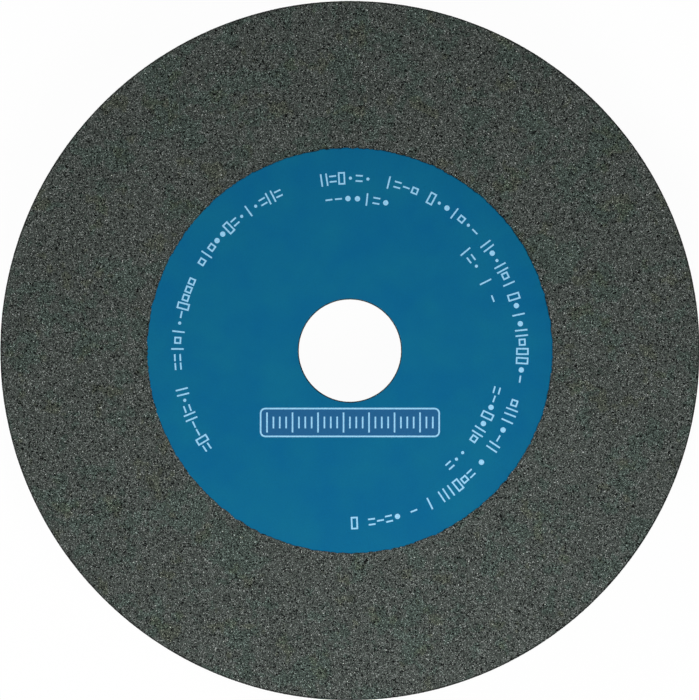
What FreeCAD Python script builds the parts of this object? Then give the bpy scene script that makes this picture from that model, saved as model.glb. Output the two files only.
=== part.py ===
import FreeCAD
import Part

import os

# Straight bench grinding wheel, millimetres.
#
# The real wheel is three pieces. The abrasive wheel is one pressed and fired ring of
# silicon carbide grain in a glassy bond. A round paper blotter is glued to each face:
# it cushions the clamping flange, and the front one carries the print.
#
# The wheel lies on its rear blotter. +Z runs along the bore, out of the printed front
# face, and the origin is the bore's centre on the rear blotter's outer face, which is
# the plane that seats on the grinder's inner flange.

# The abrasive wheel
WHEEL_DIAMETER = 150.0
WHEEL_THICKNESS = 20.0
BORE_DIAMETER = 22.23
# The grinding edge is dressed to a small round, because a sharp edge of grain crumbles
RIM_EDGE_RADIUS = 0.4
# The bore's mouths are broken by a small bevel, so that the arbor enters easily
BORE_EDGE_BEVEL = 0.2

# The paper blotters
BLOTTER_DIAMETER = 86.8
BLOTTER_THICKNESS = 0.3
# The die-cut hole is wider than the bore by this much all round, and laps over its bevel
BLOTTER_HOLE_MARGIN = 0.05

# Where each layer starts and ends, from the rear flange's seat upwards
REAR_SEAT = 0.0
WHEEL_REAR = REAR_SEAT + BLOTTER_THICKNESS
WHEEL_FRONT = WHEEL_REAR + WHEEL_THICKNESS
FRONT_SEAT = WHEEL_FRONT + BLOTTER_THICKNESS

BORE_AXIS = FreeCAD.Vector(0, 0, 1)
BORE_CENTRE = FreeCAD.Vector(0, 0, 0)
FULL_TURN = 360
PARTS_FOLDER = "parts"


def section_point(radius, height):
    """A point of a half section, which lies in the XZ plane beside the bore's axis."""
    return FreeCAD.Vector(radius, 0, height)


def straight(start, end):
    return Part.LineSegment(start, end).toShape()


def rounded(start, centre, end):
    """A quarter round from start to end about its centre."""
    half_way = (start + end) * 0.5 - centre
    half_way.normalize()
    radius = start.distanceToPoint(centre)
    return Part.Arc(start, centre + half_way * radius, end).toShape()


def turned(edges):
    """Turns a closed half section about the bore's axis into one solid."""
    section = Part.Face(Part.Wire(edges))
    return section.revolve(BORE_CENTRE, BORE_AXIS, FULL_TURN)


def make_abrasive_wheel():
    """The bonded ring: flat faces, a straight rim with rounded edges, a bevelled bore."""
    rim = WHEEL_DIAMETER / 2
    bore = BORE_DIAMETER / 2
    mouth = bore + BORE_EDGE_BEVEL
    rear_round = section_point(rim - RIM_EDGE_RADIUS, WHEEL_REAR + RIM_EDGE_RADIUS)
    front_round = section_point(rim - RIM_EDGE_RADIUS, WHEEL_FRONT - RIM_EDGE_RADIUS)

    # Corners in order, from the rear mouth of the bore out to the rim and back
    rear_mouth = section_point(mouth, WHEEL_REAR)
    rear_face_end = section_point(rear_round.x, WHEEL_REAR)
    rim_rear = section_point(rim, rear_round.z)
    rim_front = section_point(rim, front_round.z)
    front_face_end = section_point(front_round.x, WHEEL_FRONT)
    front_mouth = section_point(mouth, WHEEL_FRONT)
    bore_front = section_point(bore, WHEEL_FRONT - BORE_EDGE_BEVEL)
    bore_rear = section_point(bore, WHEEL_REAR + BORE_EDGE_BEVEL)

    return turned(
        [
            straight(rear_mouth, rear_face_end),
            rounded(rear_face_end, rear_round, rim_rear),
            straight(rim_rear, rim_front),
            rounded(rim_front, front_round, front_face_end),
            straight(front_face_end, front_mouth),
            straight(front_mouth, bore_front),
            straight(bore_front, bore_rear),
            straight(bore_rear, rear_mouth),
        ]
    )


def make_blotter(inner_face):
    """A die-cut paper ring that lies on the plane inner_face and is glued to the wheel."""
    edge = BLOTTER_DIAMETER / 2
    hole = BORE_DIAMETER / 2 + BLOTTER_HOLE_MARGIN
    lower = section_point(hole, inner_face)
    lower_edge = section_point(edge, inner_face)
    upper_edge = section_point(edge, inner_face + BLOTTER_THICKNESS)
    upper = section_point(hole, inner_face + BLOTTER_THICKNESS)
    return turned(
        [
            straight(lower, lower_edge),
            straight(lower_edge, upper_edge),
            straight(upper_edge, upper),
            straight(upper, lower),
        ]
    )


def main():
    pieces = {
        "abrasive_wheel": make_abrasive_wheel(),
        "front_blotter": make_blotter(WHEEL_FRONT),
        "rear_blotter": make_blotter(REAR_SEAT),
    }
    os.makedirs(PARTS_FOLDER, exist_ok=True)
    for name, shape in pieces.items():
        shape.exportStep(os.path.join(PARTS_FOLDER, name + ".step"))
        box = shape.optimalBoundingBox(False)
        print(
            f"{name}: {shape.Volume / 1000:.2f} cm3, diameter {box.XLength:.2f},"
            f" z {box.ZMin:.2f} to {box.ZMax:.2f}, valid {shape.isValid()}"
        )


main()
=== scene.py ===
# %% [markdown]
# A bench grinding wheel, dressed for its portrait.
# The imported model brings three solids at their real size: the abrasive ring and a paper
# blotter on each face. What it can't bring is the grain. This file turns each piece again
# with a finer skin, sets real splinters of grain into the abrasive, prints the front
# blotter, and then lights the wheel and looks down on it.

# %% Load the frame
import math

import bpy
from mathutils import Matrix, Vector


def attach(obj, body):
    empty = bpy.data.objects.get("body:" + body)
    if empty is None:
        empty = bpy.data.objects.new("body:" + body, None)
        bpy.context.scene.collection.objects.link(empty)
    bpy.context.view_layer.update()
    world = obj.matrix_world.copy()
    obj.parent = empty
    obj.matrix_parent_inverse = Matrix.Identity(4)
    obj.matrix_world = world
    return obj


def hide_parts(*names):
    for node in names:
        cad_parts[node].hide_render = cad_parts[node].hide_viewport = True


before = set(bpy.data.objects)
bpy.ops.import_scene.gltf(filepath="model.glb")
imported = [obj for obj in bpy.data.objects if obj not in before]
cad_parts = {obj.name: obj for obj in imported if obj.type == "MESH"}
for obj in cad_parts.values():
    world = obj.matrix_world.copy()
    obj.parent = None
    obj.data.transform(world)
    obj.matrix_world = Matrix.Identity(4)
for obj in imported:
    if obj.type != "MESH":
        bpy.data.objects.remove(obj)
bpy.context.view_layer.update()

print("nodes:", sorted(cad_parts))

# %% [markdown]
# Every size starts from the frame, so the looks can't drift from the solids. A round
# piece is known by how far its points reach from the bore's axis, and how near they come.

# %% Sizes from the frame
MM = 0.001


def round_sizes(node):
    """The inner and outer radius of a node about Z, and its lowest and highest level."""
    points = [vertex.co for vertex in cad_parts[node].data.vertices]
    radii = [point.xy.length for point in points]
    levels = [point.z for point in points]
    return min(radii), max(radii), min(levels), max(levels)


bore, rim, wheel_rear, wheel_front = round_sizes("abrasive_wheel")
hole, paper_edge, _, front_seat = round_sizes("front_blotter")
rear_seat = round_sizes("rear_blotter")[2]
thickness = wheel_front - wheel_rear
print(f"wheel {2 * rim / MM:.2f} across, {thickness / MM:.2f} thick, bore {2 * bore / MM:.2f}")
print(f"blotters {2 * paper_edge / MM:.2f} across, with a hole of {2 * hole / MM:.2f}")

# %% [markdown]
# Three helpers serve every tree in this file, whether it makes a shape or a finish. The
# first adds one node with its settings and links. The second measures how far a place is
# from the bore's axis. The third turns a written sRGB colour into the linear values that a
# shader works in.

# %% Helpers for trees and colours


def add_node(tree, kind, sockets=None, **settings):
    """Adds one node to a tree. A socket is named, or counted where a node has two of that name."""
    node = tree.nodes.new(kind)
    for name, value in settings.items():
        setattr(node, name, value)
    for key, value in (sockets or {}).items():
        if isinstance(key, int):
            socket = node.inputs[key]
        else:
            socket = next(s for s in node.inputs if s.name == key and s.enabled)
        if isinstance(value, bpy.types.NodeSocket):
            tree.links.new(value, socket)
        else:
            socket.default_value = value
    return node


def from_axis(tree, place):
    """The part of a place that lies across the bore's axis, and its length, the radius."""
    flat = {0: place, 1: (1, 1, 0)}
    flat = add_node(tree, "ShaderNodeVectorMath", flat, operation="MULTIPLY").outputs[0]
    return flat, add_node(tree, "ShaderNodeVectorMath", {0: flat}, operation="LENGTH").outputs["Value"]


def linear(hex_colour):
    """A written colour such as "#07678E" as linear red, green, blue and a full alpha."""
    values = [int(hex_colour[i:i + 2], 16) / 255 for i in (1, 3, 5)]
    return (*[v / 12.92 if v <= 0.04045 else ((v + 0.055) / 1.055) ** 2.4 for v in values], 1.0)


print("blotter blue in linear values:", [round(v, 4) for v in linear("#07678E")])

# %% [markdown]
# Shapes come from Geometry Nodes. Each tree is a recipe with named inputs. `grow` follows
# it once: it gives the recipe its values, takes the finished mesh and removes the modifier,
# so nothing live is left for the export.

# %% Helpers for Geometry Nodes


def new_recipe(name, inputs):
    """An empty Geometry Nodes tree with named inputs. Returns the tree and those inputs."""
    tree = bpy.data.node_groups.new(name, "GeometryNodeTree")
    tree.interface.new_socket("Geometry", in_out="OUTPUT", socket_type="NodeSocketGeometry")
    for label, kind in inputs.items():
        tree.interface.new_socket(label, in_out="INPUT", socket_type="NodeSocket" + kind)
    return tree, add_node(tree, "NodeGroupInput").outputs


def grow(name, tree, values, start):
    """Follows a recipe on a starting mesh and keeps the result as a plain object at the origin."""
    piece = bpy.data.objects.new(name, start)
    bpy.context.scene.collection.objects.link(piece)
    modifier = piece.modifiers.new("recipe", "NODES")
    modifier.node_group = tree
    inputs = [item for item in tree.interface.items_tree if item.in_out == "INPUT"]
    identifiers = {item.name: item.identifier for item in inputs}
    for label, value in values.items():
        modifier[identifiers[label]] = value
    depsgraph = bpy.context.evaluated_depsgraph_get()
    result = bpy.data.meshes.new_from_object(piece.evaluated_get(depsgraph), depsgraph=depsgraph)
    piece.modifiers.remove(modifier)
    piece.data = result
    result.name = name
    result.calc_loop_triangles()
    print(f"{name}: {len(result.loop_triangles)} triangles")
    return piece


# %% [markdown]
# The abrasive is green silicon carbide in a glassy bond, pressed, fired and faced. Seen
# close, it is splintered grain of about a fifth of a millimetre, bond with finer specks
# between, and black pores where grain is missing. The splinters come later as real chips.
# This finish is for the bond that holds them: a Voronoi pattern has one cell for each fine
# speck, and its random colour says which speck is pale or dark. A second, coarser one
# picks the pores and paints them near black, as painted shade for hollows that the bond's
# surface doesn't have. The mass is a greenish grey, and a slow noise tints about a quarter
# of it teal and a twelfth of it tan, where the batch or the firing differed. Two bands are
# darkened with painted shade: one along the paper's edge, where the paper steps down to
# the face, and one along the outer edge, where the face rounds over to the rim.

# %% Finish of the bonded mass
SPECK = 0.115 * MM
SPECK_TONES = [
    # a speck's random number from 0 to 1, its colour
    (0.0, "#020303"),
    (0.12, "#050807"),
    (0.2, "#39403C"),
    (0.8, "#4A504C"),
    (0.9, "#686E6A"),
    (1.0, "#B3B9B5"),
]
PLAIN = "#FFFFFF"
PORE = 0.25 * MM
PORE_SHARE = 0.14
# The pores' near black is painted shade for their hollows
PORE_PAINTED_SHADE = "#101010"
PATCH = 8 * MM
PATCH_NOISE = {"Scale": 1 / PATCH, "Detail": 3.0, "Roughness": 0.75}
PATCHES = {
    # channel of the noise, the value above which the tint starts, the tint
    "teal": ("Red", 0.54, "#EFFFFA"),
    "tan": ("Green", 0.60, "#FFFEEE"),
}
PATCH_BLEND = 0.02
# Painted shade along the paper's edge: how far out onto the face it reaches, and its tint
PAPER_SHADE_REACH = 0.25 * MM
PAPER_EDGE_PAINTED_SHADE = "#F0E9E2"
# Painted shade along the rounded outer edge, by how far in from the rim it starts to darken, is dark,
# clears and ends
RIM_SHADE_REACH = 0.32 * MM
DARK_FROM = 0.236 * MM
DARK_TO = 0.096 * MM
WALL_START = 0.04 * MM
RIM_EDGE_PAINTED_SHADE = "#686868"


def new_finish(name):
    """A material with a Principled shader. Returns it with its tree, shader and Object coordinates."""
    material = bpy.data.materials.new(name)
    material.use_nodes = True
    tree = material.node_tree
    tree.nodes.clear()
    shader = add_node(tree, "ShaderNodeBsdfPrincipled")
    add_node(tree, "ShaderNodeOutputMaterial", {"Surface": shader.outputs[0]})
    return material, tree, shader, add_node(tree, "ShaderNodeTexCoord").outputs["Object"]


def add_ramp(tree, value, stops, blend="LINEAR"):
    """Runs through colours as a value grows. Each stop is a position and a colour."""
    node = add_node(tree, "ShaderNodeValToRGB", {"Fac": value})
    node.color_ramp.interpolation = blend
    for _ in stops[2:]:
        node.color_ramp.elements.new(0.5)
    for element, (position, colour) in zip(node.color_ramp.elements, stops):
        element.position = position
        element.color = linear(colour)
    return node.outputs["Color"]


def bonded_mass():
    material, tree, shader, place = new_finish("glassy_bond")
    specks = add_node(tree, "ShaderNodeTexVoronoi", {"Vector": place, "Scale": 1 / SPECK})
    chance = add_node(tree, "ShaderNodeSeparateColor", {"Color": specks.outputs["Color"]}).outputs
    colour = add_ramp(tree, chance["Red"], SPECK_TONES)

    noise = add_node(tree, "ShaderNodeTexNoise", {"Vector": place} | PATCH_NOISE).outputs["Color"]
    noise = add_node(tree, "ShaderNodeSeparateColor", {"Color": noise}).outputs
    shades = []
    for channel, above, tint in PATCHES.values():
        stops = [(above - PATCH_BLEND, PLAIN), (above + PATCH_BLEND, tint)]
        shades.append(add_ramp(tree, noise[channel], stops))

    pores = add_node(tree, "ShaderNodeTexVoronoi", {"Vector": place, "Scale": 1 / PORE})
    missing = add_node(tree, "ShaderNodeSeparateColor", {"Color": pores.outputs["Color"]})
    stops = [(0.0, PORE_PAINTED_SHADE), (PORE_SHARE, PLAIN)]
    shades.append(add_ramp(tree, missing.outputs["Red"], stops, "CONSTANT"))

    # Painted shade in two bands: along the paper's edge and along the rounded outer edge
    band = rim - paper_edge
    across = {"Value": from_axis(tree, place)[1], "From Min": paper_edge, "From Max": rim}
    across = add_node(tree, "ShaderNodeMapRange", across).outputs["Result"]
    stops = [(0.0, PAPER_EDGE_PAINTED_SHADE), (PAPER_SHADE_REACH / band, PLAIN)]
    stops += [(1 - RIM_SHADE_REACH / band, PLAIN), (1 - DARK_FROM / band, RIM_EDGE_PAINTED_SHADE)]
    stops += [(1 - DARK_TO / band, RIM_EDGE_PAINTED_SHADE), (1 - WALL_START / band, PLAIN)]
    shades.append(add_ramp(tree, across, stops))

    for shade in shades:
        mix = {"Factor": 1.0, "A": colour, "B": shade}
        mix = add_node(tree, "ShaderNodeMix", mix, data_type="RGBA", blend_type="MULTIPLY")
        colour = mix.outputs["Result"]
    tree.links.new(colour, shader.inputs["Base Color"])
    shader.inputs["Specular IOR Level"].default_value = 0.12
    rough = {"Value": chance["Green"], "To Min": 0.5, "To Max": 0.9}
    rough = add_node(tree, "ShaderNodeMapRange", rough).outputs["Result"]
    tree.links.new(rough, shader.inputs["Roughness"])
    relief = {"Height": specks.outputs["Distance"], "Strength": 0.8, "Distance": 0.3 * SPECK}
    bumps = add_node(tree, "ShaderNodeBump", relief, invert=True)
    tree.links.new(bumps.outputs["Normal"], shader.inputs["Normal"])
    return material


mass_finish = bonded_mass()
print("one cell of the bond for each speck of", round(SPECK / MM, 3), "mm")

# %% [markdown]
# A wheel is turned, so its mesh is turned too. Only the half section is drawn, as a
# a closed row of points. The recipe wraps a grid round it: each row of the grid takes the
# place of one point of the section, and each column turns it a step further about the
# bore's axis. The Screw modifier could do the same, but the recipe also lets the skin
# stray: sideways where it faces sideways, and up or down where it faces up or down. So it
# serves the wheel, and the blotters with their soft, fibrous edge as well. Near the bore
# nothing strays sideways, because a hole that guides an arbor is cut clean.

# %% Recipe for a turned ring
WELD = 0.001 * MM
CREASE = math.radians(35)


def turned_ring():
    inputs = {"Section": "Geometry", "Turn steps": "Int", "Sideways stray": "Float"}
    inputs |= {"Level stray": "Float", "Firm within": "Float", "Swell": "Float"}
    inputs |= {"Fine share": "Float", "Finish": "Material"}
    tree, given = new_recipe("turned_ring", inputs)
    section, steps = given["Section"], given["Turn steps"]
    corners = add_node(tree, "GeometryNodeAttributeDomainSize", {"Geometry": section}).outputs[0]
    rows = add_node(tree, "FunctionNodeIntegerMath", {0: corners, 1: 1}, operation="ADD").outputs[0]
    columns = add_node(tree, "FunctionNodeIntegerMath", {0: steps, 1: 1}, operation="ADD").outputs[0]
    grid = add_node(tree, "GeometryNodeMeshGrid", {"Vertices X": rows, "Vertices Y": columns})

    index = add_node(tree, "GeometryNodeInputIndex").outputs[0]
    count = {0: index, 1: columns}
    row = add_node(tree, "FunctionNodeIntegerMath", count, operation="DIVIDE_FLOOR").outputs[0]
    column = add_node(tree, "FunctionNodeIntegerMath", count, operation="MODULO").outputs[0]
    corner = add_node(tree, "FunctionNodeIntegerMath", {0: row, 1: corners}, operation="MODULO")
    share = add_node(tree, "ShaderNodeMath", {0: column, 1: steps}, operation="DIVIDE").outputs[0]
    angle = add_node(tree, "ShaderNodeMath", {0: share, 1: 2 * math.pi}, operation="MULTIPLY")

    position = add_node(tree, "GeometryNodeInputPosition").outputs[0]
    sample = {"Geometry": section, "Value": position, "Index": corner.outputs[0]}
    point = add_node(tree, "GeometryNodeSampleIndex", sample, data_type="FLOAT_VECTOR").outputs[0]
    turned = {"Vector": point, "Angle": angle.outputs[0]}
    turned = add_node(tree, "ShaderNodeVectorRotate", turned, rotation_type="Z_AXIS").outputs[0]
    wrapped = {"Geometry": grid.outputs[0], "Position": turned}
    wrapped = add_node(tree, "GeometryNodeSetPosition", wrapped).outputs[0]
    closed = {"Geometry": wrapped, "Distance": WELD}
    closed = add_node(tree, "GeometryNodeMergeByDistance", closed).outputs[0]

    scale = add_node(tree, "ShaderNodeMath", {0: 1.0, 1: given["Swell"]}, operation="DIVIDE")
    noise = {"Scale": scale.outputs[0], "Detail": 4.0, "Roughness": given["Fine share"]}
    noise = add_node(tree, "ShaderNodeTexNoise", noise).outputs["Fac"]
    centred = add_node(tree, "ShaderNodeMath", {0: noise, 1: 0.5}, operation="SUBTRACT").outputs[0]
    free = {"A": from_axis(tree, position)[1], "B": given["Firm within"]}
    free = add_node(tree, "FunctionNodeCompare", free, operation="GREATER_THAN").outputs[0]
    sideways = {0: given["Sideways stray"], 1: free}
    sideways = add_node(tree, "ShaderNodeMath", sideways, operation="MULTIPLY").outputs[0]
    reach = {"X": sideways, "Y": sideways, "Z": given["Level stray"]}
    reach = add_node(tree, "ShaderNodeCombineXYZ", reach).outputs[0]
    normal = add_node(tree, "GeometryNodeInputNormal").outputs[0]
    way = add_node(tree, "ShaderNodeVectorMath", {0: normal, 1: reach}, operation="MULTIPLY").outputs[0]
    offset = {0: way, "Scale": centred}
    offset = add_node(tree, "ShaderNodeVectorMath", offset, operation="SCALE").outputs[0]
    strayed = {"Geometry": closed, "Offset": offset}
    strayed = add_node(tree, "GeometryNodeSetPosition", strayed).outputs[0]

    smooth = add_node(tree, "GeometryNodeSetShadeSmooth", {"Geometry": strayed}, domain="FACE")
    bend = add_node(tree, "GeometryNodeInputMeshEdgeAngle").outputs[0]
    crease = add_node(tree, "FunctionNodeCompare", {"A": bend, "B": CREASE}, operation="GREATER_THAN")
    creased = {"Geometry": smooth.outputs[0], "Selection": crease.outputs[0], "Shade Smooth": False}
    sharp = add_node(tree, "GeometryNodeSetShadeSmooth", creased, domain="EDGE")
    finish = {"Geometry": sharp.outputs[0], "Material": given["Finish"]}
    done = add_node(tree, "GeometryNodeSetMaterial", finish)
    add_node(tree, "NodeGroupOutput", {"Geometry": done.outputs[0]})
    return tree


ring_recipe = turned_ring()
print("the ring recipe has", len(ring_recipe.nodes), "nodes")

# %% [markdown]
# The half section is a loop of corners. Each corner is softened by an arc, or cut by a
# bevel, which is an arc of one step. The way to the next corner gets points at a spacing
# of its own: wide where paper hides the wheel, narrow where the skin shows.

# %% The half section of a ring


def half_section(corners):
    """Points round a loop of corners (radius, level, softening, arc steps, spacing on the way on)."""
    points = []
    earlier = corners[-1:] + corners[:-1]
    later = corners[1:] + corners[:1]
    for before, corner, after in zip(earlier, corners, later):
        spot = Vector(corner[:2])
        soft, steps, spacing = corner[2:]
        way_in = (spot - Vector(before[:2])).normalized()
        way_out = (Vector(after[:2]) - spot).normalized()
        centre = spot - way_in * soft + way_out * soft
        for step in range(steps + 1):
            turn = math.pi / 2 * step / max(steps, 1)
            points.append(centre + (way_in * math.sin(turn) - way_out * math.cos(turn)) * soft)
        start = spot + way_out * soft
        end = Vector(after[:2]) - way_out * after[2]
        count = math.ceil((end - start).length / spacing)
        points += [start.lerp(end, step / count) for step in range(1, count)]
    return points


def section_mesh(corners):
    """The half section as a mesh of loose points in the XZ plane, for the ring recipe."""
    mesh = bpy.data.meshes.new("half_section")
    mesh.from_pydata([(radius, 0, level) for radius, level in half_section(corners)], [], [])
    return mesh


# %% [markdown]
# The abrasive ring replaces its CAD node, on the same section. In the open its bond lies a
# little under the CAD's surface, because there the tips of the grain make the surface, and
# the bond and the pores lie between them. It rises to the full level where the paper's
# edge comes down on it. The rim's edges keep the round that a dressed wheel has.

# %% The abrasive ring
SKIN_DEPTH = 0.08 * MM
RIM_DEPTH = 0.02 * MM
SEAT_LAP = 0.5 * MM
SEAT_SLOPE = 0.8 * MM
RIM_ROUND = 0.4 * MM
RIM_STEPS = 6
BORE_BEVEL = 0.2 * MM
OPEN_SPACING = 2 * MM
HIDDEN_SPACING = 12 * MM
FIRM = bore + 1 * MM

bond_rim = rim - RIM_DEPTH
bond_bore = bore + RIM_DEPTH
bond_front = wheel_front - SKIN_DEPTH
bond_rear = wheel_rear + SKIN_DEPTH
seat_edge = paper_edge - SEAT_LAP
seat_foot = seat_edge + SEAT_SLOPE
wheel_corners = [
    (bond_bore, wheel_rear, BORE_BEVEL, 1, HIDDEN_SPACING),
    (seat_edge, wheel_rear, 0, 0, OPEN_SPACING),
    (seat_foot, bond_rear, 0, 0, OPEN_SPACING),
    (bond_rim, bond_rear, RIM_ROUND, RIM_STEPS, OPEN_SPACING),
    (bond_rim, bond_front, RIM_ROUND, RIM_STEPS, OPEN_SPACING),
    (seat_foot, bond_front, 0, 0, OPEN_SPACING),
    (seat_edge, wheel_front, 0, 0, HIDDEN_SPACING),
    (bond_bore, wheel_front, BORE_BEVEL, 1, OPEN_SPACING),
]
wheel_values = {"Turn steps": 240, "Sideways stray": 0.04 * MM, "Level stray": 0.04 * MM}
wheel_values |= {"Firm within": FIRM, "Swell": 6 * MM, "Fine share": 0.5, "Finish": mass_finish}
wheel = grow("pressed_abrasive", ring_recipe, wheel_values, section_mesh(wheel_corners))

# %% [markdown]
# Grain is what the eye reads first, so it is geometry and not only a pattern. A chip of
# grain is glassy: flat faces that catch the light or lose it. Thousands of tiny chips
# can't carry a baked pattern, so each gets one plain tint. There are six shades, from
# splinters that look black to a few glints, and the four between them also come in the
# patches' teal and tan.

# %% Finishes of the grain
GRAIN_SHADES = {
    # share of the chips, colour, roughness, specular level, whether the patches tint it
    "black": (0.15, "#050807", 0.6, 0.10, False),
    "dark": (0.15, "#222926", 0.6, 0.15, True),
    "middle": (0.46, "#414842", 0.6, 0.20, True),
    "light": (0.15, "#606763", 0.5, 0.30, True),
    "bright": (0.075, "#9AA09C", 0.4, 0.50, True),
    # The glinting chips are a painted highlight in near white; their glossy faces also catch real light
    "glinting": (0.015, "#ECF2EE", 0.3, 0.50, False),
}


def plain_finish(name, hex_colour, tint, roughness, specular):
    """A glassy finish of one tinted colour, in the shader's own sockets."""
    material, _, shader, _ = new_finish(name)
    colour = [a * b for a, b in zip(linear(hex_colour), linear(tint))]
    shader.inputs["Base Color"].default_value = colour
    shader.inputs["Roughness"].default_value = roughness
    shader.inputs["Specular IOR Level"].default_value = specular
    return material


grain_finishes = {}
for shade, (_, hex_colour, roughness, specular, patched) in GRAIN_SHADES.items():
    tints = {f"{shade}_silicon_carbide": PLAIN}
    if patched:
        tints |= {f"{shade}_{patch}_silicon_carbide": tint for patch, (_, _, tint) in PATCHES.items()}
    for name, tint in tints.items():
        grain_finishes[name] = plain_finish(name, hex_colour, tint, roughness, specular)
print(len(grain_finishes), "tints of grain")

# %% [markdown]
# Each splinter is a four-faced chip, thrown on the surface at a random turn, stretched
# along its axes at random, and sunk or raised a little at random. Poisson disk spacing
# keeps chips apart as pressing does, and none lies where the bond shows a pore. Dressing
# trues the wheel: a diamond takes every tip down to one level, so no chip stands past the
# CAD's surface.

# %% Recipe for strewn grain
# The chip's form, the range of its stretch and how far it is raised, in shares of its size
CHIP = {"Vertices": 3, "Radius Bottom": 0.55, "Radius Top": 0.0, "Depth": 0.9}
STRETCH = (0.6, 1.4)
RISE = (-0.3, 0.2)
# Points tried on each square of the spacing. Those too close to another are dropped
TRIES = 4.0


def strewn_grain():
    inputs = {"Body": "Geometry", "Nearest": "Float", "Farthest": "Float"}
    inputs |= {"Lowest": "Float", "Highest": "Float", "Bore": "Float", "Rim": "Float"}
    inputs |= {"Rear face": "Float", "Front face": "Float", "Spacing": "Float"}
    inputs |= {"Chip size": "Float", "Darkening": "Float", "Seed": "Int"}
    inputs |= {name: "Material" for name in grain_finishes}
    tree, given = new_recipe("strewn_grain", inputs)

    place = add_node(tree, "GeometryNodeInputPosition").outputs[0]
    level = add_node(tree, "ShaderNodeSeparateXYZ", {0: place}).outputs["Z"]
    flat, radius = from_axis(tree, place)
    chosen = None
    for value, limit, way in (
        (radius, "Nearest", "GREATER_THAN"),
        (radius, "Farthest", "LESS_THAN"),
        (level, "Lowest", "GREATER_THAN"),
        (level, "Highest", "LESS_THAN"),
    ):
        test = {"A": value, "B": given[limit]}
        test = add_node(tree, "FunctionNodeCompare", test, operation=way).outputs[0]
        if chosen is None:
            chosen = test
        else:
            chosen = add_node(tree, "FunctionNodeBooleanMath", {0: chosen, 1: test}, operation="AND")
            chosen = chosen.outputs[0]

    area = add_node(tree, "ShaderNodeMath", {0: given["Spacing"], 1: 2.0}, operation="POWER").outputs[0]
    density = add_node(tree, "ShaderNodeMath", {0: TRIES, 1: area}, operation="DIVIDE").outputs[0]
    strewing = {
        "Mesh": given["Body"],
        "Selection": chosen,
        "Distance Min": given["Spacing"],
        "Density Max": density,
        "Seed": given["Seed"],
    }
    strewn = add_node(tree, "GeometryNodeDistributePointsOnFaces", strewing, distribute_method="POISSON")

    size = given["Chip size"]
    rise = {"Min": RISE[0], "Max": RISE[1], "Seed": 1}
    rise = add_node(tree, "FunctionNodeRandomValue", rise).outputs[1]
    rise = add_node(tree, "ShaderNodeMath", {0: rise, 1: size}, operation="MULTIPLY").outputs[0]
    sinking = {0: strewn.outputs["Normal"], "Scale": rise}
    sinking = add_node(tree, "ShaderNodeVectorMath", sinking, operation="SCALE").outputs[0]
    sunk = add_node(tree, "GeometryNodeSetPosition", {"Geometry": strewn.outputs[0], "Offset": sinking})
    chance = add_node(tree, "FunctionNodeRandomValue", {"Seed": 2}).outputs[1]
    chance = {0: chance, 1: given["Darkening"]}
    chance = add_node(tree, "ShaderNodeMath", chance, operation="POWER").outputs[0]
    marked = {"Geometry": sunk.outputs[0], "Name": "tint", "Value": chance}
    marked = add_node(tree, "GeometryNodeStoreNamedAttribute", marked)

    chip = add_node(tree, "GeometryNodeMeshCone", CHIP).outputs["Mesh"]
    # A cone's middle is a quarter of the way up from its base
    centred = {"Geometry": chip, "Translation": (0, 0, -CHIP["Depth"] / 4)}
    chip = add_node(tree, "GeometryNodeTransform", centred).outputs[0]
    spin = {"Max": (2 * math.pi,) * 3, "Seed": 3}
    spin = add_node(tree, "FunctionNodeRandomValue", spin, data_type="FLOAT_VECTOR").outputs[0]
    stretch = {"Min": (STRETCH[0],) * 3, "Max": (STRETCH[1],) * 3, "Seed": 4}
    stretch = add_node(tree, "FunctionNodeRandomValue", stretch, data_type="FLOAT_VECTOR").outputs[0]
    sized = {0: stretch, "Scale": size}
    sized = add_node(tree, "ShaderNodeVectorMath", sized, operation="SCALE").outputs[0]
    pores = add_node(tree, "ShaderNodeTexVoronoi", {"Vector": place, "Scale": 1 / PORE})
    pores = add_node(tree, "FunctionNodeSeparateColor", {"Color": pores.outputs["Color"]}).outputs["Red"]
    solid = {"A": pores, "B": PORE_SHARE}
    solid = add_node(tree, "FunctionNodeCompare", solid, operation="GREATER_EQUAL").outputs[0]
    chips = {"Points": marked.outputs[0], "Selection": solid, "Instance": chip}
    chips |= {"Rotation": spin, "Scale": sized}
    chips = add_node(tree, "GeometryNodeInstanceOnPoints", chips).outputs[0]
    made = add_node(tree, "GeometryNodeRealizeInstances", {"Geometry": chips}).outputs[0]

    held = {"Value": radius, "Min": given["Bore"], "Max": given["Rim"]}
    held = add_node(tree, "ShaderNodeClamp", held).outputs[0]
    share = add_node(tree, "ShaderNodeMath", {0: held, 1: radius}, operation="DIVIDE").outputs[0]
    trued = add_node(tree, "ShaderNodeVectorMath", {0: flat, "Scale": share}, operation="SCALE").outputs[0]
    faced = {"Value": level, "Min": given["Rear face"], "Max": given["Front face"]}
    faced = add_node(tree, "ShaderNodeClamp", faced).outputs[0]
    faced = add_node(tree, "ShaderNodeCombineXYZ", {"Z": faced}).outputs[0]
    dressed = add_node(tree, "ShaderNodeVectorMath", {0: trued, 1: faced}, operation="ADD").outputs[0]
    made = add_node(tree, "GeometryNodeSetPosition", {"Geometry": made, "Position": dressed}).outputs[0]
    faceted = {"Geometry": made, "Shade Smooth": False}
    made = add_node(tree, "GeometryNodeSetShadeSmooth", faceted).outputs[0]

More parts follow.
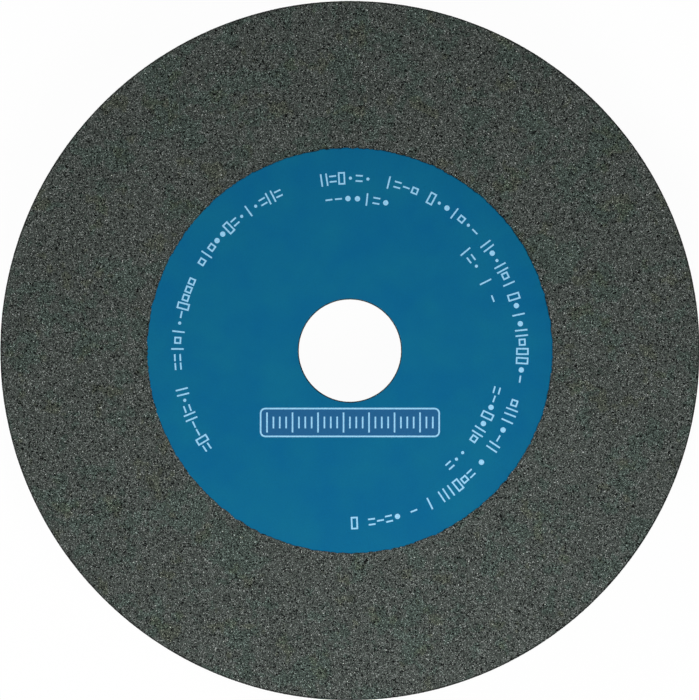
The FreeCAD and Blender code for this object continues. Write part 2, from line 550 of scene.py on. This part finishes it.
    tint = add_node(tree, "GeometryNodeInputNamedAttribute", {"Name": "tint"}).outputs[0]
    noise = add_node(tree, "ShaderNodeTexNoise", {"Vector": place} | PATCH_NOISE).outputs["Color"]
    noise = add_node(tree, "FunctionNodeSeparateColor", {"Color": noise}).outputs
    inside = {}
    for patch, (channel, above, _) in PATCHES.items():
        test = {"A": noise[channel], "B": above}
        inside[patch] = add_node(tree, "FunctionNodeCompare", test, operation="GREATER_THAN").outputs[0]
    start = 0.0
    for shade, (portion, _, _, _, patched) in GRAIN_SHADES.items():
        above = {"A": tint, "B": start}
        above = add_node(tree, "FunctionNodeCompare", above, operation="GREATER_EQUAL").outputs[0]
        where = {f"{shade}_silicon_carbide": above}
        if patched:
            for patch, test in inside.items():
                both = add_node(tree, "FunctionNodeBooleanMath", {0: above, 1: test}, operation="AND")
                where[f"{shade}_{patch}_silicon_carbide"] = both.outputs[0]
        for name, selection in where.items():
            finish = {"Geometry": made, "Selection": selection, "Material": given[name]}
            made = add_node(tree, "GeometryNodeSetMaterial", finish).outputs[0]
        start += portion
    made = add_node(tree, "GeometryNodeRemoveAttribute", {"Geometry": made, "Name": "tint"}).outputs[0]
    add_node(tree, "NodeGroupOutput", {"Geometry": made})
    return tree


grain_recipe = strewn_grain()
print("the grain recipe has", len(grain_recipe.nodes), "nodes")

# %% [markdown]
# Each face gets its own bed of chips, between two radii and two levels. A chip of 80 grit
# is nearly 0.2 mm across, and the front face, which is looked at most, is strewn at that
# size, in rings that keep each piece light. The rim, the bore and the rear face get chips
# about twice as coarse, which still read as grain from a metre away. The beds reach a
# little way under the paper's edge and no further. The chips along the paper's edge and
# those along the rounded outer edge are darker, as painted shade: their shades are drawn
# from a chance that is raised to a power, which favours the black end.

# %% The grain of each face
# The least distance between two chips, and a chip's size
CLOSE = (0.225 * MM, 0.195 * MM)
OPEN = (0.37 * MM, 0.38 * MM)
WIDE = (0.42 * MM, 0.42 * MM)
# The power that darkens a bed: above one, it paints shade
EVEN = 1.0
PAPER_SHADING = 1.1
RIM_SHADING = 2.2
front_from = wheel_front - RIM_ROUND
rear_to = wheel_rear + RIM_ROUND
under_paper = paper_edge - SEAT_LAP
paper_shade_end = paper_edge + PAPER_SHADE_REACH
edge_start = rim - RIM_SHADE_REACH
ring_ends = [paper_shade_end + share * (edge_start - paper_shade_end) for share in (0.29, 0.55, 0.79)]
# A limit that no point of the wheel reaches
FAR = 1.0
grain_beds = {
    # nearest and farthest radius, lowest and highest level, distance and size, power
    "front_grain_inner": (paper_shade_end, ring_ends[0], front_from, FAR, CLOSE, EVEN),
    "front_grain_second": (ring_ends[0], ring_ends[1], front_from, FAR, CLOSE, EVEN),
    "front_grain_third": (ring_ends[1], ring_ends[2], front_from, FAR, CLOSE, EVEN),
    "front_grain_outer": (ring_ends[2], edge_start, front_from, FAR, CLOSE, EVEN),
    # Painted shade: darker chips along the paper's edge and along the rounded outer edge
    "paper_shaded_grain": (under_paper, paper_shade_end, front_from, FAR, CLOSE, PAPER_SHADING),
    "edge_grain": (edge_start, FAR, front_from, FAR, CLOSE, RIM_SHADING),
    "rim_grain": (edge_start, FAR, rear_to, front_from, OPEN, EVEN),
    "rear_grain": (under_paper, FAR, -FAR, rear_to, WIDE, EVEN),
    "bore_grain": (0.0, hole + BORE_BEVEL, -FAR, FAR, WIDE, EVEN),
}
grain = []
for seed, (name, bed) in enumerate(grain_beds.items()):
    nearest, farthest, lowest, highest, (spacing, chip_size), darkening = bed
    values = {"Nearest": nearest, "Farthest": farthest, "Lowest": lowest, "Highest": highest}
    values |= {"Bore": bore, "Rim": rim, "Rear face": wheel_rear, "Front face": wheel_front}
    values |= {"Spacing": spacing, "Chip size": chip_size, "Darkening": darkening, "Seed": seed}
    grain.append(grow(name, grain_recipe, values | grain_finishes, wheel.data))

# %% [markdown]
# A blotter is a ring of blue blotting paper, and the front one is the wheel's label too.
# Paper isn't one blue: the dye clouds over a few millimetres, and the fibres show as a
# fine mottle and a shallow bump. It is matt, so hardly any light glances off it.

# %% Finish of the paper
FIBRE = 0.35 * MM
CLOUD = 8 * MM


def blotting_paper():
    material, tree, shader, place = new_finish("blue_blotting_paper")
    cloud = add_node(tree, "ShaderNodeTexNoise", {"Vector": place, "Scale": 1 / CLOUD, "Detail": 3.0})
    fibre = add_node(tree, "ShaderNodeTexNoise", {"Vector": place, "Scale": 1 / FIBRE, "Detail": 4.0})
    dyed = add_ramp(tree, cloud.outputs["Fac"], [(0.3, "#05618C"), (0.7, "#0A688B")])
    mottle = add_ramp(tree, fibre.outputs["Fac"], [(0.3, "#F6F6F6"), (0.7, PLAIN)])
    mix = {"Factor": 1.0, "A": dyed, "B": mottle}
    mix = add_node(tree, "ShaderNodeMix", mix, data_type="RGBA", blend_type="MULTIPLY")
    tree.links.new(mix.outputs["Result"], shader.inputs["Base Color"])
    shader.inputs["Roughness"].default_value = 0.7
    shader.inputs["Specular IOR Level"].default_value = 0.05
    relief = {"Height": fibre.outputs["Fac"], "Strength": 0.25, "Distance": 0.02 * MM}
    bumps = add_node(tree, "ShaderNodeBump", relief)
    tree.links.new(bumps.outputs["Normal"], shader.inputs["Normal"])
    return material


paper_finish = blotting_paper()
print(f"fibres of {FIBRE / MM} mm, clouds of {CLOUD / MM:.0f} mm")

# %% [markdown]
# The paper is 0.3 mm thick and lies over a gritty face, so its top follows the grit a
# little. Its outer edge is pressed soft on the side of the flange, and the die left it
# frayed, about a tenth of a millimetre in and out of round. The front blotter is turned in
# finer steps, because its fraying is what shows.

# %% The blotters
PAPER_ROUND = 0.05 * MM
PRESSED_ROUND = 0.24 * MM
ROUND_STEPS = 4
FRONT_TURN = 1440
REAR_TURN = 720
PAPER_SPACING = 5 * MM
FRAYING = {"Sideways stray": 1.3 * MM, "Level stray": 0.02 * MM, "Swell": 1.6 * MM, "Fine share": 0.85}


def make_blotter(name, low, high, turn_steps, low_round, high_round):
    """A ring of paper between two levels, with a round of its own at each outer edge."""
    edges = [(hole, low, PAPER_ROUND), (paper_edge, low, low_round)]
    edges += [(paper_edge, high, high_round), (hole, high, PAPER_ROUND)]
    corners = [(radius, level, soft, ROUND_STEPS, PAPER_SPACING) for radius, level, soft in edges]
    values = FRAYING | {"Turn steps": turn_steps, "Firm within": FIRM, "Finish": paper_finish}
    return grow(name, ring_recipe, values, section_mesh(corners))


levels = (wheel_front, front_seat)
front_paper = make_blotter("front_paper", *levels, FRONT_TURN, PAPER_ROUND, PRESSED_ROUND)
levels = (rear_seat, wheel_rear)
rear_paper = make_blotter("rear_paper", *levels, REAR_TURN, PRESSED_ROUND, PAPER_ROUND)

# %% [markdown]
# The label is printed in two blues: a pale ink for its marks and outlines, and a deep one
# for the ground of its ruled strip.

# %% Finish of the ink


def printing_ink(name, thin, full):
    """Offset ink that took unevenly on soft paper: thinner where the fibres drank it."""
    material, tree, shader, place = new_finish(name)
    fibre = add_node(tree, "ShaderNodeTexNoise", {"Vector": place, "Scale": 1 / FIBRE, "Detail": 3.0})
    colour = add_ramp(tree, fibre.outputs["Fac"], [(0.3, thin), (0.6, full)])
    tree.links.new(colour, shader.inputs["Base Color"])
    shader.inputs["Roughness"].default_value = 0.6
    shader.inputs["Specular IOR Level"].default_value = 0.2
    return material


pale_ink = printing_ink("pale_blue_ink", "#80C0E4", "#9AD1F1")
deep_ink = printing_ink("deep_blue_ink", "#0C5584", "#0D5A8A")
print("inks:", pale_ink.name, "and", deep_ink.name)

# %% [markdown]
# The print is a set of lines that bend round the bore, each a row of generic marks: posts,
# boxes, dashes, dots and discs of one height, width and stroke. None is a letter or a
# figure. Each line is an arc. The recipe walks along it at an even pitch, leaves gaps at
# random, and stamps a mark picked at random with its foot towards the bore. A mark is a
# film of ink with a real thickness, pressed halfway into the paper.

# %% Recipe for a line of marks
DISC_SIDES = 16


def marked_lines():
    inputs = {"Lines": "Geometry", "Pitch": "Float", "Height": "Float", "Width": "Float"}
    inputs |= {"Stroke": "Float", "Film": "Float", "Gaps": "Float", "Seed": "Int", "Ink": "Material"}
    tree, given = new_recipe("marked_lines", inputs)
    height, width, stroke, film = given["Height"], given["Width"], given["Stroke"], given["Film"]
    offset = add_node(tree, "ShaderNodeMath", {0: width, 1: stroke}, operation="SUBTRACT").outputs[0]
    offset = add_node(tree, "ShaderNodeMath", {0: offset, 1: 0.5}, operation="MULTIPLY").outputs[0]
    # A swept profile thins at a square corner, so it starts wider by the square root of two
    mitre = {0: stroke, 1: math.sqrt(2)}
    mitre = add_node(tree, "ShaderNodeMath", mitre, operation="MULTIPLY").outputs[0]

    def bar(across, up):
        size = add_node(tree, "ShaderNodeCombineXYZ", {"X": across, "Y": up, "Z": film}).outputs[0]
        return add_node(tree, "GeometryNodeMeshCube", {"Size": size}).outputs["Mesh"]

    def pair(geometry, axis):
        join = add_node(tree, "GeometryNodeJoinGeometry")
        for sign in (1, -1):
            shift = add_node(tree, "ShaderNodeMath", {0: offset, 1: sign}, operation="MULTIPLY")
            shift = add_node(tree, "ShaderNodeCombineXYZ", {axis: shift.outputs[0]}).outputs[0]
            moved = add_node(tree, "GeometryNodeTransform", {"Geometry": geometry, "Translation": shift})
            tree.links.new(moved.outputs[0], join.inputs[0])
        return join.outputs[0]

    def box(across, up):
        path = {}
        for label, value in (("Width", across), ("Height", up)):
            less = add_node(tree, "ShaderNodeMath", {0: value, 1: stroke}, operation="SUBTRACT")
            path[label] = less.outputs[0]
        path = add_node(tree, "GeometryNodeCurvePrimitiveQuadrilateral", path).outputs[0]
        profile = {"Width": mitre, "Height": film}
        profile = add_node(tree, "GeometryNodeCurvePrimitiveQuadrilateral", profile).outputs[0]
        swept = {"Curve": path, "Profile Curve": profile}
        return add_node(tree, "GeometryNodeCurveToMesh", swept).outputs[0]

    def disc(radius):
        drum = {"Vertices": DISC_SIDES, "Radius": radius, "Depth": film}
        return add_node(tree, "GeometryNodeMeshCylinder", drum).outputs["Mesh"]

    marks = [
        bar(stroke, height),
        pair(bar(stroke, height), "X"),
        box(width, height),
        box(width, width),
        bar(width, stroke),
        pair(bar(width, stroke), "Y"),
        disc(offset),
        disc(stroke),
    ]
    picks = add_node(tree, "GeometryNodeJoinGeometry")
    # Joined geometry keeps the latest link first, and the pick is random anyway
    for mark in marks:
        kept = add_node(tree, "GeometryNodeGeometryToInstance", {"Geometry": mark}).outputs[0]
        tree.links.new(kept, picks.inputs[0])

    path = add_node(tree, "GeometryNodeMeshToCurve", {"Mesh": given["Lines"]}).outputs[0]
    walk = {"Curve": path, "Length": given["Pitch"]}
    walk = add_node(tree, "GeometryNodeCurveToPoints", walk, mode="LENGTH")
    turn = {"Vector": walk.outputs["Tangent"]}
    turn = add_node(tree, "FunctionNodeAlignRotationToVector", turn, axis="X").outputs[0]
    chance = add_node(tree, "FunctionNodeRandomValue", {"Seed": given["Seed"]}).outputs[1]
    printed = {"A": chance, "B": given["Gaps"]}
    printed = add_node(tree, "FunctionNodeCompare", printed, operation="GREATER_THAN").outputs[0]
    pick = {"Min": 0, "Max": len(marks) - 1, "Seed": given["Seed"]}
    pick = add_node(tree, "FunctionNodeRandomValue", pick, data_type="INT").outputs[2]
    stamped = {"Points": walk.outputs[0], "Selection": printed, "Instance": picks.outputs[0]}
    stamped |= {"Pick Instance": True, "Instance Index": pick, "Rotation": turn}
    stamped = add_node(tree, "GeometryNodeInstanceOnPoints", stamped).outputs[0]
    made = add_node(tree, "GeometryNodeRealizeInstances", {"Geometry": stamped}).outputs[0]
    made = {"Geometry": made, "Shade Smooth": False}
    made = add_node(tree, "GeometryNodeSetShadeSmooth", made).outputs[0]
    made = {"Geometry": made, "Material": given["Ink"]}
    made = add_node(tree, "GeometryNodeSetMaterial", made).outputs[0]
    add_node(tree, "NodeGroupOutput", {"Geometry": made})
    return tree


# %% [markdown]
# Most of the lines lie on an outer circle, and three on an inner one. Their ends are given
# in degrees about the bore, anticlockwise from the right, and each line runs clockwise, so
# that its marks stand with their tops outwards.

# %% The printed lines
OUTER_LINE = 36.97 * MM
INNER_LINE = 32.6 * MM
MARK = {"Pitch": 1.84 * MM, "Height": 2.68 * MM, "Width": 1.5 * MM, "Stroke": 0.34 * MM}
FILM = 0.03 * MM
LINE_STEP = 2
outer_lines = [(149, 114.5), (101.5, 84), (77, 43.6), (40.2, 22.8), (18.2, -9.5), (-17.7, -40.3)]
outer_lines += [(-45.4, -57), (-62.4, -88.5), (216.9, 156.4)]
inner_lines = [(101.5, 72.8), (40.6, 20), (-8.4, -48.9)]


def line_mesh():
    """Each line as a chain of edges along its arc, in the middle of the ink's height."""
    points, edges = [], []
    for radius, lines in ((OUTER_LINE, outer_lines), (INNER_LINE, inner_lines)):
        for first, last in lines:
            count = math.ceil((first - last) / LINE_STEP)
            for step in range(count + 1):
                angle = math.radians(first + (last - first) * step / count)
                points.append((radius * math.cos(angle), radius * math.sin(angle), front_seat))
                if step:
                    edges.append((len(points) - 2, len(points) - 1))
    mesh = bpy.data.meshes.new("lines")
    mesh.from_pydata(points, edges, [])
    return mesh


line_values = MARK | {"Film": FILM, "Gaps": 0.12, "Seed": 5, "Ink": pale_ink}
printed_lines = grow("printed_lines", marked_lines(), line_values, line_mesh())

# %% [markdown]
# Below the bore the label has a plain ruled strip: a rounded outline round a deeper blue
# ground, and a row of rules like a scale's, with every fourth one longer. It is one more
# recipe, on a single point at the strip's middle.

# %% The ruled strip
STRIP_DROP = 15.4 * MM
STRIP = {"Length": 38.6 * MM, "Height": 6.3 * MM, "Corner": 1.0 * MM, "Stroke": 0.34 * MM}
CORNER_STEPS = 6
# A rule's share of the strip's height
SHORT_RULE = 0.42
LONG_RULE = 0.72
LONG_EVERY = 4


def ruled_strip():
    inputs = {"Middle": "Geometry", "Length": "Float", "Height": "Float", "Corner": "Float"}
    inputs |= {"Stroke": "Float", "Film": "Float", "Rules": "Int"}
    inputs |= {"Ink": "Material", "Ground": "Material"}
    tree, given = new_recipe("ruled_strip", inputs)
    stroke, film = given["Stroke"], given["Film"]

    inner = []
    for label in ("Length", "Height"):
        less = add_node(tree, "ShaderNodeMath", {0: given[label], 1: stroke}, operation="SUBTRACT")
        inner.append(less.outputs[0])
    length, height = inner
    path = {"Width": length, "Height": height}
    path = add_node(tree, "GeometryNodeCurvePrimitiveQuadrilateral", path).outputs[0]
    path = {"Curve": path, "Radius": given["Corner"], "Count": CORNER_STEPS}
    path = add_node(tree, "GeometryNodeFilletCurve", path, mode="POLY").outputs[0]
    profile = {"Width": stroke, "Height": film}
    profile = add_node(tree, "GeometryNodeCurvePrimitiveQuadrilateral", profile).outputs[0]
    outline = {"Curve": path, "Profile Curve": profile}
    outline = add_node(tree, "GeometryNodeCurveToMesh", outline).outputs[0]

    thin = add_node(tree, "ShaderNodeMath", {0: film, 1: 0.5}, operation="MULTIPLY").outputs[0]
    size = add_node(tree, "ShaderNodeCombineXYZ", {"X": length, "Y": height, "Z": thin}).outputs[0]
    ground = add_node(tree, "GeometryNodeMeshCube", {"Size": size}).outputs["Mesh"]
    ground = {"Geometry": ground, "Material": given["Ground"]}
    ground = add_node(tree, "GeometryNodeSetMaterial", ground).outputs[0]

    rules = given["Rules"]
    gaps = add_node(tree, "FunctionNodeIntegerMath", {0: rules, 1: 1}, operation="ADD").outputs[0]
    gap = add_node(tree, "ShaderNodeMath", {0: length, 1: gaps}, operation="DIVIDE").outputs[0]
    half = add_node(tree, "ShaderNodeMath", {0: length, 1: -0.5}, operation="MULTIPLY").outputs[0]
    start = add_node(tree, "ShaderNodeMath", {0: half, 1: gap}, operation="ADD").outputs[0]
    start = add_node(tree, "ShaderNodeCombineXYZ", {"X": start}).outputs[0]
    step = add_node(tree, "ShaderNodeCombineXYZ", {"X": gap}).outputs[0]
    row = {"Count": rules, "Start Location": start, "Offset": step}
    row = add_node(tree, "GeometryNodeMeshLine", row, mode="OFFSET").outputs[0]
    index = add_node(tree, "GeometryNodeInputIndex").outputs[0]
    turn = add_node(tree, "FunctionNodeIntegerMath", {0: index, 1: LONG_EVERY}, operation="MODULO")
    long = {"A": turn.outputs[0], "B": 0.5}
    long = add_node(tree, "FunctionNodeCompare", long, operation="LESS_THAN").outputs[0]
    share = {"Switch": long, "False": SHORT_RULE, "True": LONG_RULE}
    share = add_node(tree, "GeometryNodeSwitch", share, input_type="FLOAT").outputs[0]
    stretch = add_node(tree, "ShaderNodeCombineXYZ", {"X": 1.0, "Y": share, "Z": 1.0}).outputs[0]
    size = add_node(tree, "ShaderNodeCombineXYZ", {"X": stroke, "Y": height, "Z": film}).outputs[0]
    rule = add_node(tree, "GeometryNodeMeshCube", {"Size": size}).outputs["Mesh"]
    ruled = {"Points": row, "Instance": rule, "Scale": stretch}
    ruled = add_node(tree, "GeometryNodeInstanceOnPoints", ruled).outputs[0]

    pale = add_node(tree, "GeometryNodeJoinGeometry")
    for part in (outline, ruled):
        tree.links.new(part, pale.inputs[0])
    pale = {"Geometry": pale.outputs[0], "Material": given["Ink"]}
    pale = add_node(tree, "GeometryNodeSetMaterial", pale).outputs[0]
    whole = add_node(tree, "GeometryNodeJoinGeometry")
    for part in (pale, ground):
        tree.links.new(part, whole.inputs[0])
    whole = add_node(tree, "GeometryNodeGeometryToInstance", {"Geometry": whole.outputs[0]}).outputs[0]
    put = {"Points": given["Middle"], "Instance": whole}
    put = add_node(tree, "GeometryNodeInstanceOnPoints", put).outputs[0]
    made = add_node(tree, "GeometryNodeRealizeInstances", {"Geometry": put}).outputs[0]
    made = {"Geometry": made, "Shade Smooth": False}
    made = add_node(tree, "GeometryNodeSetShadeSmooth", made).outputs[0]
    add_node(tree, "NodeGroupOutput", {"Geometry": made})
    return tree


middle = bpy.data.meshes.new("strip_middle")
middle.from_pydata([(0, -STRIP_DROP, front_seat)], [], [])
strip_values = STRIP | {"Film": FILM, "Rules": 27, "Ink": pale_ink, "Ground": deep_ink}
printed_strip = grow("printed_strip", ruled_strip(), strip_values, middle)

# %% [markdown]
# The stage is a white table, two softboxes and a grey world. The wheel lies on its rear
# blotter, and the camera looks straight down through a long lens from over a metre, so
# that the bore shows the white table and only a hair's breadth of its wall. A pixel of
# the picture is 0.214 mm on the wheel's face, and the aim is given in pixels.

# %% Stage
PIXEL = 0.21437 * MM
LENS = 310.0
SENSOR = 36.0
IMAGE_HEIGHT = 700
AIM_LEFT = 0.41 * PIXEL
AIM_UP = 0.62 * PIXEL

camera_data = bpy.data.cameras.new("camera")
camera_data.lens = LENS
camera_data.sensor_width = SENSOR
camera = bpy.data.objects.new("camera", camera_data)
bpy.context.scene.collection.objects.link(camera)
away = IMAGE_HEIGHT * PIXEL * LENS / SENSOR
camera.location = (-AIM_LEFT, AIM_UP, wheel_front + away)
bpy.context.scene.camera = camera
print(f"camera {away:.3f} m above the wheel's face")

# %% [markdown]
# Two softboxes and the world together give a white sheet on the wheel a brightness of one,
# so each colour renders about as it is written. The near softbox hangs close above the
# wheel's lower edge, so that side of the face is a little brighter. The far one stands low
# at the upper left, where its raking light brings out the grain and draws a fine shadow
# along the paper's edge. A wide lamp lights a point less than a small one of the same
# power would, and its boost makes up for that.

# %% Light
NEAR_SHARE = 0.51
FAR_SHARE = 0.25
SOFTBOXES = {
    # share of the light, boost, width and place in metres
    "near_softbox": (NEAR_SHARE, 1.03, 0.14, (0.035, -0.14, 0.25)),
    "far_softbox": (FAR_SHARE, 1.02, 0.4, (-1.0, 0.7, 0.85)),
}


def softbox(name, share, boost, size, place):
    """A square lamp that faces the bore's axis and gives its share of the light there."""
    data = bpy.data.lights.new(name, "AREA")
    data.shape = "SQUARE"
    data.size = size
    place = Vector(place)
    data.energy = share * boost * math.pi ** 2 * place.length ** 3 / place.z
    lamp = bpy.data.objects.new(name, data)
    bpy.context.scene.collection.objects.link(lamp)
    lamp.location = place
    lamp.rotation_mode = "QUATERNION"
    lamp.rotation_quaternion = place.to_track_quat("Z", "Y")
    lamp.visible_camera = False
    print(f"{name} {data.energy:.2f} W")


for name, (share, boost, size, place) in SOFTBOXES.items():
    softbox(name, share, boost, size, place)

# %% [markdown]
# The world gives the rest of the light, as a grey that comes from all sides. The camera
# itself sees it white, as the photo's background is.

# %% World
world = bpy.data.worlds.new("studio")
world.use_nodes = True
bpy.context.scene.world = world
tree = world.node_tree
tree.nodes.clear()
rest = 1 - NEAR_SHARE - FAR_SHARE
seen = add_node(tree, "ShaderNodeLightPath").outputs["Is Camera Ray"]
glow = {"Value": seen, "To Min": rest, "To Max": 1.0}
glow = add_node(tree, "ShaderNodeMapRange", glow).outputs["Result"]
sky = add_node(tree, "ShaderNodeBackground", {"Color": linear(PLAIN), "Strength": glow})
add_node(tree, "ShaderNodeOutputWorld", {"Surface": sky.outputs[0]})
print(f"the world gives {rest:.2f} of the light")

# %% [markdown]
# The table is white acrylic. The photo shows it burnt out, so to the camera nearly all of
# it is a glow of full white, and the light itself meets plain white paint.

# %% Table
TABLE_HALF = 4.0
TABLE_GLOW = 0.97
around = ((-1, -1), (1, -1), (1, 1), (-1, 1))
corners = [(x * TABLE_HALF, y * TABLE_HALF, 0) for x, y in around]
floor_mesh = bpy.data.meshes.new("floor")
floor_mesh.from_pydata(corners, [], [(0, 1, 2, 3)])
floor = bpy.data.objects.new("floor", floor_mesh)
bpy.context.scene.collection.objects.link(floor)
floor_finish = bpy.data.materials.new("white_acrylic")
floor_finish.use_nodes = True
tree = floor_finish.node_tree
tree.nodes.clear()
paint = add_node(tree, "ShaderNodeBsdfDiffuse", {"Color": linear("#F8F8F8")})
lit = add_node(tree, "ShaderNodeEmission", {"Color": linear(PLAIN), "Strength": 1.0})
seen = add_node(tree, "ShaderNodeLightPath").outputs["Is Camera Ray"]
part = add_node(tree, "ShaderNodeMath", {0: seen, 1: TABLE_GLOW}, operation="MULTIPLY").outputs[0]
mixed = add_node(tree, "ShaderNodeMixShader", {0: part, 1: paint.outputs[0], 2: lit.outputs[0]})
add_node(tree, "ShaderNodeOutputMaterial", {"Surface": mixed.outputs[0]})
floor_mesh.materials.append(floor_finish)
print(f"table {2 * TABLE_HALF:.0f} m across")

bpy.context.scene.view_settings.view_transform = "Standard"

# %% [markdown]
# Each piece takes its body, and the three turned rings replace their solids.
# All of it is one rigid wheel, so every piece rides the same body.

# %% Give each piece its body
for piece, node, slot in (
    (wheel, "abrasive_wheel", "vitrified_silicon_carbide"),
    (front_paper, "front_blotter", "blue_blotter_paper"),
    (rear_paper, "rear_blotter", "blue_blotter_paper"),
):
    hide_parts(node)
    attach(piece, "root")
for piece in grain:
    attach(piece, "root")
for piece in (printed_lines, printed_strip):
    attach(piece, "root")
print(len(grain), "beds of grain ride the wheel")
